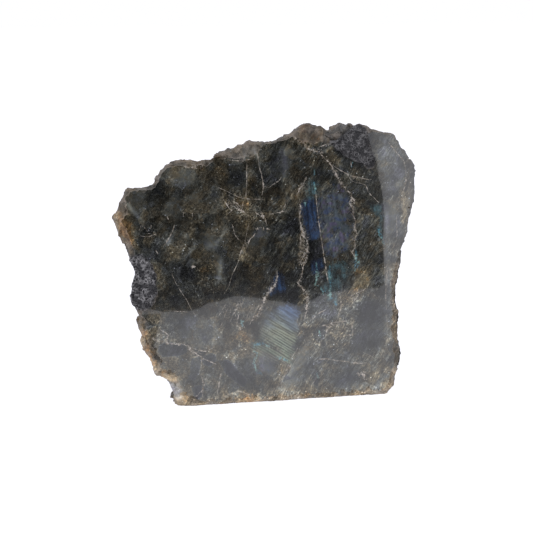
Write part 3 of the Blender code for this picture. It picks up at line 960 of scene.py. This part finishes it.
in_shards, in_blue, in_slate, in_teal, broken, striped, grainy = [
    depth_in_any(outlines, x, z) - fade for outlines in
    (SHARDS, DEEP_BLUE, SLATE_BLUE, TEAL, SHATTERED, STRIPED, GRAINY_PATCHES)]
keep("plates", in_shards, broken, grainy)
keep("flash", in_blue, in_slate, in_teal)
smears = smear_strength(SMEARS, x, z) * near_face

# %% [markdown]
# ## Hollows and edges
# The broken faces get painted shade in their hollows and a little painted highlight on their
# sharp edges. For each point the mean of its neighbours is compared with the point itself:
# where the mean lies outside the stone, the point is in a hollow.

# %% Hollows and edges
FINE_DEPTH = 0.12           # a dent of this depth between neighbours counts in full
COARSE_DEPTH = 0.45         # the same for a hollow of several points' width
WIDER = 8                   # how many times the mean is spread for the wide hollows

ends = np.zeros(len(mesh.edges) * 2, dtype=np.int64)
mesh.edges.foreach_get("vertices", ends)
first, second = ends.reshape(-1, 2).T
count = np.bincount(first, minlength=len(spots)) + np.bincount(second, minlength=len(spots))


def mean_around(values):
    """The mean over the neighbours of every point."""
    total = [np.bincount(first, one[second], len(spots)) + np.bincount(second, one[first], len(spots))
             for one in values.T]
    return np.stack(total, axis=1) / np.maximum(count, 1)[:, None]


outward = column(mesh.vertices, "normal")
fine = ((mean_around(spots) - spots) * outward).sum(axis=1)
wide = spots
for _ in range(WIDER):
    wide = mean_around(wide)
coarse = ((wide - spots) * outward).sum(axis=1)
hollow = np.clip(fine / FINE_DEPTH, -1.0, 1.0) * 0.5 + np.clip(coarse / COARSE_DEPTH, -1.0, 1.0)
hollow = mean_around(hollow[:, None])[:, 0]
keep("surface", hollow, striped, smears)
print("hollows and edges, mm:", np.percentile(coarse, (2, 98)).round(2))

# %% [markdown]
# ## A small language for materials
# A material is a network of nodes. Written one node at a time it is long and hard to read,
# so two small classes do the wiring: a Signal is one output, and ordinary arithmetic on it
# adds Math nodes. Everything else comes from one method, node, which takes the node's type,
# its settings and its inputs.

# %% Signals
class Signal:
    """One output of a node, on which arithmetic adds Math nodes."""

    def __init__(self, finish, socket):
        self.finish = finish
        self.socket = socket

    def math(self, operation, *others):
        return self.finish.node("Math", {"operation": operation}, (self, *others))

    def __add__(self, other):
        return self.math("ADD", other)

    def __sub__(self, other):
        return self.math("SUBTRACT", other)

    def __mul__(self, other):
        return self.math("MULTIPLY", other)

    def __truediv__(self, other):
        return self.math("DIVIDE", other)

    def __rsub__(self, other):
        return self.finish.node("Math", {"operation": "SUBTRACT"}, (other, self))

    __radd__ = __add__


# %% Finishes
class Finish:
    """A material being made, and its main shader."""

    def __init__(self, name):
        self.material = bpy.data.materials.new(name)
        self.material.use_nodes = True
        self.tree = self.material.node_tree
        self.shader = self.tree.nodes["Principled BSDF"]
        objects = self.node("TexCoord", output="Object")
        self.place = self.vector("SCALE", objects, Scale=1.0 / MM)

    def node(self, kind, settings=None, inputs=(), output=0):
        """Add a node: settings first, then the values or links of its inputs."""
        made = self.tree.nodes.new("ShaderNode" + kind)
        for name, value in (settings or {}).items():
            if name == "stops":
                self.set_stops(made.color_ramp, value)
            else:
                setattr(made, name, value)
        pairs = inputs.items() if isinstance(inputs, dict) else enumerate(inputs)
        for where, value in pairs:
            self.plug(made.inputs[where], value)
        return Signal(self, made.outputs[output])

    def set_stops(self, ramp, stops):
        """Give a ramp its row of places and colours."""
        for where, _ in stops[2:]:
            ramp.elements.new(where)
        for element, (where, colour) in zip(ramp.elements, stops):
            element.position, element.color = where, colour

    def plug(self, socket, value):
        if isinstance(value, Signal):
            self.tree.links.new(value.socket, socket)
        else:
            socket.default_value = value

    def vector(self, operation, *inputs, **named):
        pairs = {**dict(enumerate(inputs)), **named}
        return self.node("VectorMath", {"operation": operation}, pairs)

    def shaken(self, place, colours, amount):
        """Space moved by the colours of a noise times an amount in millimetres."""
        return self.vector("MULTIPLY_ADD", colours, (amount, amount, amount), place)

    def noise(self, place, size, detail=2.0, roughness=0.5, shift=0.0, output=0):
        """Soft random pattern of one size in millimetres, 0 to 1 about 0.5.

        The shift picks another part of the same noise, so that no two patterns match.
        """
        moved = self.vector("ADD", place, (shift, 0.7 * shift, -shift)) if shift else place
        return self.node("TexNoise", None, {"Vector": moved, "Scale": 1.0 / size, "Detail": detail,
                                            "Roughness": roughness}, output)

    def ramp(self, low, high, signal):
        """0 below low, 1 above high, and a soft slope between."""
        return self.node("MapRange", {"interpolation_type": "SMOOTHSTEP"}, (signal, low, high, 0.0, 1.0))

    def mix(self, share, first, second):
        """The first colour where share is 0, the second where it is 1.

        A Mix node has sockets for every type: 6 and 7 take the colours, and 2 gives one.
        """
        return self.node("Mix", {"data_type": "RGBA"}, {0: share, 6: first, 7: second}, 2)

    def colour_ramp(self, share, stops):
        """The colour that a row of stops has at a share."""
        return self.node("ValToRGB", {"stops": stops}, (share,))

    def parts(self, name):
        """The three numbers that every point keeps under a name."""
        stored = self.node("Attribute", {"attribute_name": name}, output="Vector")
        return [self.node("SeparateXYZ", None, (stored,), axis) for axis in range(3)]


# %% [markdown]
# ## Inside the stone
# Labradorite is a dark feldspar with cloudy grey and brown veils, fine streaks along its
# cleavage, and grains of ore and mica, whose glints are painted as bright specks. All three
# finishes share this pattern, which is solid: it runs through the stone, so a cloud that leaves
# the polished face goes on in the broken side. It is kept as two numbers. Light counts in
# photographic stops, so that dark and bright grains vary alike, and warmth runs from blue-grey
# through olive to rust.

# %% Light and warmth
HUES = (                    # warmth, colour of the stone at that warmth
    (0.00, (0.92, 0.96, 1.12, 1.0)),
    (0.25, (0.95, 1.02, 0.99, 1.0)),
    (0.45, (1.03, 1.03, 0.84, 1.0)),
    (0.62, (1.15, 1.00, 0.70, 1.0)),
    (0.80, (1.20, 1.01, 0.62, 1.0)),
    (1.00, (1.46, 0.93, 0.42, 1.0)),
)
USUAL_LIGHT = -5.3          # stops below white
CLOUDS, BLOCKS, GRAINS, STREAKS, FIBRES = 4.8, 1.4, 7.4, 4.4, 1.6     # stops that each noise adds
WARM_CLOUDS, WARM_SPECKS, WARM_BLOCKS = 1.2, 0.7, 0.3       # how far each noise moves the warmth
LOW_LIGHT = 0.75            # stops by which the stone is paler towards its base
FIBROUS_FROM = (-16.0, 0.0)          # x over which the fibrous right part of the face begins
LOW_FROM = (34.0, 18.0)              # z over which the paler lower part begins
STREAK_TURN = math.radians(-57.0)    # the way in which the cleavage streaks rise to the right
SILK_TURN = math.radians(-98.0)      # the silky streaks of the flash stand nearly upright
PALE_VEIN = (0.42, 0.38, 0.335, 1.0)
BROWN_VEIN = (0.13, 0.10, 0.065, 1.0)


def in_field(finish, depth, soft, fray):
    """A field of colour with a soft, frayed edge."""
    return finish.ramp(-soft, soft, depth + (fray - 0.5) * (5.0 * soft))


def stops(finish, colour, light):
    """A colour made lighter or darker by a number of stops."""
    return finish.vector("SCALE", colour, Scale=finish.node("Math", {"operation": "POWER"}, (2.0, light)))


def flicker_of(finish, place):
    """Space shaken a little, so that drawn noises are not ruled lines."""
    return finish.shaken(place, finish.noise(place, 3.0, 2.0, 0.5, 19.0, "Color"), 1.5)


# %% Pattern of the stone
class Pattern:
    """The noises that make the stone, shared by the parts of one finish.

    cloud, warm, grain, speck, streak, silk, fibre and fray are noises about 0.5. cell and
    cell_warmth differ from block to block. fleck, cracks and shards are 0, or 1 where they are;
    fleck marks small grains that are painted bright as glints.
    """

    def __init__(self, finish):
        place = finish.place
        swirl = finish.noise(place, 12.0, 2.0, 0.5, 0.0, "Color")
        bent = finish.shaken(place, swirl, 7.0)
        flicker = finish.noise(place, 1.8, 3.0, 0.6, 5.0, "Color")
        shaken = finish.shaken(bent, flicker, 2.4)
        self.x, _, self.z = (finish.node("SeparateXYZ", None, (place,), axis) for axis in range(3))
        self.cloud = finish.noise(bent, 9.0, 5.0, 0.62)
        self.warm = finish.noise(bent, 6.0, 4.0, 0.6, 80.0)
        self.grain = finish.noise(place, 0.8, 4.0, 0.8, 11.0)
        self.speck = finish.noise(place, 1.3, 3.0, 0.7, 115.0)
        self.streak = finish.noise(self.drawn(finish, bent, STREAK_TURN, 9.0), 0.6, 4.0, 0.72, 23.0)
        silky = self.drawn(finish, flicker_of(finish, place), SILK_TURN, 12.0)
        self.silk = finish.noise(silky, 1.0, 4.0, 0.66, 87.0)
        self.fibre = finish.noise(self.drawn(finish, shaken, STREAK_TURN * 0.8, 3.5), 1.3, 3.0, 0.6, 57.0)
        self.fray = finish.noise(place, 3.0, 6.0, 0.75, 31.0)
        cells = finish.node("TexVoronoi", None, {"Vector": shaken, "Scale": 1.0 / 4.5}, "Color")
        self.cell, self.cell_warmth = (finish.node("SeparateXYZ", None, (cells,), axis) for axis in (0, 1))
        grains = finish.node("TexVoronoi", None, {"Vector": place, "Scale": 1.0 / 0.7})
        pick = finish.node("SeparateXYZ", None, (Signal(finish, grains.socket.node.outputs["Color"]),), 2)
        # Small scattered grains, which are painted bright and white as glints.
        self.grain_and_glint = finish.ramp(0.92, 0.96, pick) * finish.ramp(0.42, 0.15, grains)
        where = finish.noise(place, 7.0, 3.0, 0.6, 99.0)
        here = finish.noise(place, 3.0, 2.0, 0.5, 43.0)
        fine = self.net(finish, shaken, 2.2, 0.045) * finish.ramp(0.5, 0.62, where)
        coarse = self.net(finish, shaken, 6.5, 0.018) * finish.ramp(0.46, 0.56, here)
        self.cracks = fine.math("MAXIMUM", coarse)
        torn = self.drawn(finish, finish.shaken(place, flicker, 1.6), STREAK_TURN, 2.0)
        crushed = finish.ramp(0.46, 0.58, finish.noise(place, 1.5, 3.0, 0.7, 63.0))
        self.shards = self.net(finish, torn, 1.15, 0.12) * crushed

    def drawn(self, finish, place, turn, longer):
        """Space drawn out along one direction of the face, which turns a noise into streaks."""
        return finish.node("Mapping", {"vector_type": "TEXTURE"},
                           {"Vector": place, "Rotation": (0.0, turn, 0.0), "Scale": (longer, 2.0, 1.0)})

    def net(self, finish, place, size, thin):
        """A net of thin cracks between cells of one size."""
        cells = {"Vector": place, "Scale": 1.0 / size}
        to_edge = finish.node("TexVoronoi", {"feature": "DISTANCE_TO_EDGE"}, cells)
        return finish.ramp(thin, thin * 0.25, to_edge)


# %% Colour of the stone
def stone_colour(finish, pattern, lighter=0.0, warmer=0.0, contrast=1.0):
    """The colour inside the stone, before veins and flashes."""
    tone_light, tone_warmth, tone_calm = finish.parts("tone")
    in_shards, broken, _ = finish.parts("plates")
    _, _, smear = finish.parts("surface")
    shard = finish.ramp(-0.2, 0.25, in_shards + (pattern.grain - 0.5) * 0.8)
    rim = finish.ramp(0.7, 0.1, (in_shards + (pattern.fray - 0.5) * 1.5).math("ABSOLUTE"))
    shattered = in_field(finish, broken, 1.8, pattern.fray)
    calm = (1.0 - (tone_calm + smear * 0.4 + shard * 0.3).math("MINIMUM", 0.85)) * contrast
    fibrous = finish.ramp(*FIBROUS_FROM, pattern.x)

    light = ((pattern.cloud - 0.5) * CLOUDS + (pattern.cell - 0.5) * BLOCKS) * (calm * 0.5 + 0.5)
    light = light + (pattern.grain - 0.5) * (GRAINS - fibrous * 2.4) * calm
    fibres = (pattern.streak - 0.5) * STREAKS + (pattern.fibre - 0.5) * FIBRES
    light = light + fibres * (0.8 + fibrous * 1.1) * calm
    light = light + tone_light + smear * pattern.fray * 3.4
    # Painted glints: the small scattered grains are made much brighter, and whiter below.
    light = light + pattern.grain_and_glint * calm * 2.6 + pattern.cracks * 0.8
    crushed = pattern.shards * 1.5 + (pattern.grain - 0.5) * 3.0 - 0.3
    light = light + shattered * (crushed * contrast) - shard * 0.5 + rim * 0.6
    light = light + finish.ramp(*LOW_FROM, pattern.z + (pattern.fray - 0.5) * 12.0) * LOW_LIGHT
    warmth = (pattern.warm - 0.5) * WARM_CLOUDS + (pattern.speck - 0.5) * (WARM_SPECKS * contrast)
    warmth = warmth + (pattern.cell_warmth - 0.5) * WARM_BLOCKS + tone_warmth
    warmth = warmth - smear * 0.15 - pattern.grain_and_glint * 0.3 - shard * 0.38
    hue = finish.colour_ramp(warmth - fibrous * 0.07 + (0.52 + warmer), HUES)
    return stops(finish, hue, light + (USUAL_LIGHT + lighter))


# %% [markdown]
# ## Veins
# A healed crack in a feldspar is a braid of thin pale lines, and not one thick one. Each
# vein is drawn a few times with a different wander, and noise breaks the strands.

# %% Drawing veins
def strand(finish, line, shift, spread, thickness, size, edge=0.16):
    """One thin line of a vein, bent by noise of one size."""
    off_x, off_z, width = line
    bend = finish.noise(finish.place, size, 4.0, 0.7, shift, "Color")
    bend_x, bend_z = (finish.node("SeparateXYZ", None, (bend,), axis) for axis in (0, 2))
    across = off_x + (bend_x - 0.5) * (width * spread)
    up = off_z + (bend_z - 0.5) * (width * spread)
    gap = (across * across + up * up).math("SQRT")
    uneven = finish.noise(finish.place, 1.5, 3.0, 0.75, shift + 4.0)
    half = width * thickness * finish.ramp(0.36, 0.66, uneven)
    inside = (half - gap) / edge + 0.5
    return inside.math("MINIMUM", 1.0).math("MAXIMUM", 0.0) * finish.ramp(0.05, 0.12, width)


def braid(finish, name, strands):
    """A vein of several strands: how strongly it covers each spot."""
    line = finish.parts(name)
    cover = strand(finish, line, 0.0, *strands[0])
    for number, one in enumerate(strands[1:], 1):
        cover = cover.math("MAXIMUM", strand(finish, line, 17.0 * number, *one))
    return cover


def crumbs(finish, name, pattern, reach):
    """The crushed grains on either side of a vein."""
    off_x, off_z, width = finish.parts(name)
    gap = (off_x * off_x + off_z * off_z).math("SQRT")
    near = ((width * reach - gap) / 0.8 + 0.5).math("MINIMUM", 1.0).math("MAXIMUM", 0.0)
    return near * finish.ramp(0.05, 0.12, width) * finish.ramp(0.5, 0.62, pattern.grain)


# %% [markdown]
# ## The flash
# Labradorite shines blue, violet and green where thin layers inside it catch the light. The
# shine has the streaks of those layers in it, and in one place they show as dark stripes.

# %% Colours of the flash
DEEP_BLUES = ((0.010, 0.014, 0.026, 1.0), (0.014, 0.033, 0.074, 1.0))
SLATES = ((0.030, 0.044, 0.085, 1.0), (0.048, 0.060, 0.068, 1.0), (0.062, 0.056, 0.095, 1.0))
SEAS = ((0.020, 0.028, 0.028, 1.0), (0.045, 0.085, 0.095, 1.0))
SPARKS_OF = ((0.05, 0.17, 0.24, 1.0), (0.24, 0.42, 0.38, 1.0))
SHINE = (                   # up the field: brown, green, yellow-green, steel, blue-violet
    (0.0, (0.085, 0.08, 0.06, 1.0)), (0.12, (0.09, 0.11, 0.075, 1.0)), (0.25, (0.095, 0.115, 0.085, 1.0)),
    (0.45, (0.115, 0.125, 0.085, 1.0)), (0.56, (0.09, 0.11, 0.10, 1.0)), (0.64, (0.075, 0.10, 0.12, 1.0)),
    (0.8, (0.066, 0.09, 0.115, 1.0)), (0.94, (0.046, 0.072, 0.125, 1.0)),
)
SHINE_FROM, SHINE_SPAN = 14.0, 24.0     # z where the shine begins, and its height
STRIPE_SPACING = 0.95
STRIPE_FALL = math.radians(33.0)

# %% Stripes
def stripes(finish, pattern):
    """Fine dark stripes, which fall to the right, over a shine that changes upwards."""
    wobble = finish.noise(finish.place, 4.0, 2.0, 0.5, 61.0)
    across = pattern.z * math.cos(STRIPE_FALL) + pattern.x * math.sin(STRIPE_FALL)
    band = finish.noise(pattern.drawn(finish, finish.place, STRIPE_FALL, 10.0), 0.8, 3.0, 0.6, 71.0)
    wide = finish.noise(pattern.drawn(finish, finish.place, STRIPE_FALL, 8.0), 2.2, 2.0, 0.5, 75.0)
    height = (pattern.z - SHINE_FROM) / SHINE_SPAN + (wide - 0.5) * 0.5
    height = height - finish.ramp(4.0, -3.0, pattern.x) * 0.22
    wave = ((across + (wobble - 0.5) * 0.8) * (2.0 * math.pi / STRIPE_SPACING)).math("SINE")
    fine = finish.ramp(0.66, 0.5, height) * 0.8 + 0.2
    light = (wave * 0.8 + 0.2) * fine + (band - 0.5) * 6.0 + (wide - 0.5) * 4.0
    return stops(finish, finish.colour_ramp(height, SHINE), light.math("MINIMUM", 0.8).math("MAXIMUM", -1.7))


# %% Fields of flash
def flash(finish, pattern, colour):
    """The colour of the stone with the shine over it."""
    in_blue, in_slate, in_teal = finish.parts("flash")
    _, striped, _ = finish.parts("surface")
    fray = pattern.fray
    uneven = (pattern.grain - 0.5) * 1.2 + (pattern.silk - 0.5) * 4.5
    folds = pattern.silk * 0.4 + finish.noise(finish.place, 2.5, 3.0, 0.6, 57.0) * 0.6
    blue = stops(finish, finish.mix(finish.ramp(0.4, 0.64, folds), *DEEP_BLUES), (pattern.silk - 0.5) * 5.0)
    colour = finish.mix(in_field(finish, in_blue, 1.1, fray) * 0.85, colour, blue)
    patches = finish.noise(finish.place, 4.0, 3.0, 0.5, 51.0)
    slate = finish.mix(finish.ramp(0.38, 0.5, patches), SLATES[0], SLATES[1])
    slate = stops(finish, finish.mix(finish.ramp(0.54, 0.62, patches), slate, SLATES[2]), uneven)
    veiled = finish.ramp(0.3, 0.62, finish.noise(finish.place, 3.2, 4.0, 0.6, 54.0)) * 0.85
    colour = finish.mix(in_field(finish, in_slate, 2.4, fray) * veiled, colour, slate)
    sea = finish.mix(finish.ramp(0.4, 0.62, pattern.silk * 0.5 + patches * 0.5), *SEAS)
    sea = stops(finish, sea, (pattern.grain - 0.5) * 4.0 + (pattern.silk - 0.5) * 2.0)
    colour = finish.mix(in_field(finish, in_teal, 1.6, fray) * veiled, colour, sea)
    cover = in_field(finish, striped, 1.8, fray) * (finish.ramp(-8.0, 0.0, pattern.x) * 0.5 + 0.42)
    return finish.mix(cover, colour, stops(finish, stripes(finish, pattern), (pattern.grain - 0.5) * 1.5))


# %% [markdown]
# ## The polished face
# Polishing lets the eye see into the stone, so its colours are deep, and a clear gloss lies
# over them. The gloss is a coat on the shader. It is weaker over veins and cracks, where the
# surface is a little broken.

# %% Polished finish
def polished():
    finish = Finish("polished")
    pattern = Pattern(finish)
    colour = flash(finish, pattern, stone_colour(finish, pattern))
    spark = braid(finish, "sparks", ((2.0, 1.9, 1.6, 0.6), (6.0, 1.2, 3.0, 0.5)))
    spark = spark * finish.ramp(0.4, 0.58, pattern.grain)
    tint = finish.mix(finish.ramp(0.4, 0.6, finish.noise(finish.place, 2.2, 2.0, 0.5, 47.0)), *SPARKS_OF)
    colour = finish.mix(spark * 0.7, colour, tint)
    line = braid(finish, "veins", ((4.0, 0.75, 3.4), (6.0, 0.45, 1.3), (12.0, 0.4, 5.0), (9.0, 0.35, 2.2)))
    line = line.math("MAXIMUM", crumbs(finish, "veins", pattern, 1.7) * 0.7)
    line = line.math("MAXIMUM", braid(finish, "hairs", ((3.0, 0.95, 2.4), (7.0, 0.4, 1.5))) * 0.8)
    clean = finish.ramp(0.34, 0.6, finish.noise(finish.place, 1.1, 3.0, 0.6, 91.0))
    tint = finish.mix(clean, BROWN_VEIN, PALE_VEIN)
    colour = finish.mix(line * 0.85, colour, tint)
    finish.plug(finish.shader.inputs["Base Color"], colour)
    finish.plug(finish.shader.inputs["Coat Weight"], 1.0 - line * 0.6)
    finish.shader.inputs["Roughness"].default_value = 0.2
    finish.shader.inputs["Coat Roughness"].default_value = 0.03
    finish.shader.inputs["Coat IOR"].default_value = 1.55
    return finish.material


# %% [markdown]
# ## The broken sides
# A broken face is paler than a polished one, because its many small facets scatter the light
# before it gets into the stone. Iron has stained the open cracks brown, the hollows get painted
# shade and the sharp edges a little painted highlight, and the grainy patches are dark with a
# net of white grains.

# %% Rough finish
ROSY = (1.06, 0.985, 1.0)     # broken feldspar is a little pinker than polished
DUST = (0.20, 0.17, 0.145, 1.0)
SALT = (0.195, 0.19, 0.193, 1.0)
PEPPER = (0.006, 0.006, 0.008, 1.0)
ROUGH_LIGHTER, ROUGH_WARMER, ROUGH_CONTRAST = 0.9, 0.03, 0.6
FACET = 1.4                    # size of the smallest facets, in millimetres
FACET_HEIGHT = 0.5 * MM


def rough():
    finish = Finish("rough")
    pattern = Pattern(finish)
    place = finish.place
    _, _, grainy = finish.parts("plates")
    hollow, _, _ = finish.parts("surface")
    colour = stone_colour(finish, pattern, ROUGH_LIGHTER, ROUGH_WARMER, ROUGH_CONTRAST)
    colour = finish.vector("MULTIPLY", colour, ROSY)
    dust = finish.noise(place, 5.0, 5.0, 0.7, 33.0)
    colour = finish.mix(finish.ramp(0.45, 0.7, dust - hollow * 0.05) * 0.5, colour, DUST)
    # Painted shade: the hollows are darkened, and the sharp edges made a little paler as a painted
    # highlight.
    colour = stops(finish, colour, hollow.math("MAXIMUM", -0.35) * -0.6)
    wander = finish.noise(place, 1.2, 2.0, 0.5, 3.0, "Color")
    bent = finish.shaken(place, wander, 1.2)
    net = pattern.net(finish, bent, 1.5, 0.1).math("MAXIMUM", pattern.net(finish, bent, 0.9, 0.12) * 0.7)
    crackle = net * (finish.ramp(0.4, 0.6, finish.noise(place, 2.6, 3.0, 0.6, 77.0)) * 0.85 + 0.15)
    salty = stops(finish, finish.mix(crackle, PEPPER, SALT),
                  (pattern.grain - 0.5) * 4.0 + (pattern.cloud - 0.5) * 1.5 + finish.parts("tone")[0] * 0.8)
    colour = finish.mix(in_field(finish, grainy, 0.8, pattern.fray), colour, salty)
    finish.plug(finish.shader.inputs["Base Color"], colour)
    finish.shader.inputs["Roughness"].default_value = 0.65
    facets = finish.node("TexVoronoi", {"feature": "F1"}, {"Vector": bent, "Scale": 1.0 / FACET})
    bump = finish.node("Bump", None, {"Strength": 0.7, "Distance": FACET_HEIGHT,
                                      "Height": pattern.grain + facets * 0.8})
    finish.plug(finish.shader.inputs["Normal"], bump)
    return finish.material


# %% [markdown]
# ## The sawn base
# A diamond saw leaves a flat, dull face with fine parallel lines.

# %% Sawn finish
SAW_LINE = 0.9              # distance between the saw's lines, in millimetres
SAWN_LIGHTER = 0.8


def sawn():
    finish = Finish("sawn")
    pattern = Pattern(finish)
    colour = stone_colour(finish, pattern, SAWN_LIGHTER)
    wave = ((pattern.x + (pattern.cloud - 0.5) * 0.8) * (2.0 * math.pi / SAW_LINE)).math("SINE")
    finish.plug(finish.shader.inputs["Base Color"], stops(finish, colour, wave * 0.15))
    finish.plug(finish.shader.inputs["Roughness"], 0.55 + wave * 0.05)
    return finish.material


for finish in (polished, rough, sawn):
    mesh.materials.append(finish())
print("finishes:", [material.name for material in mesh.materials])

# %% Hand over
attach(labradorite, "root")
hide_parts(CHUNK)
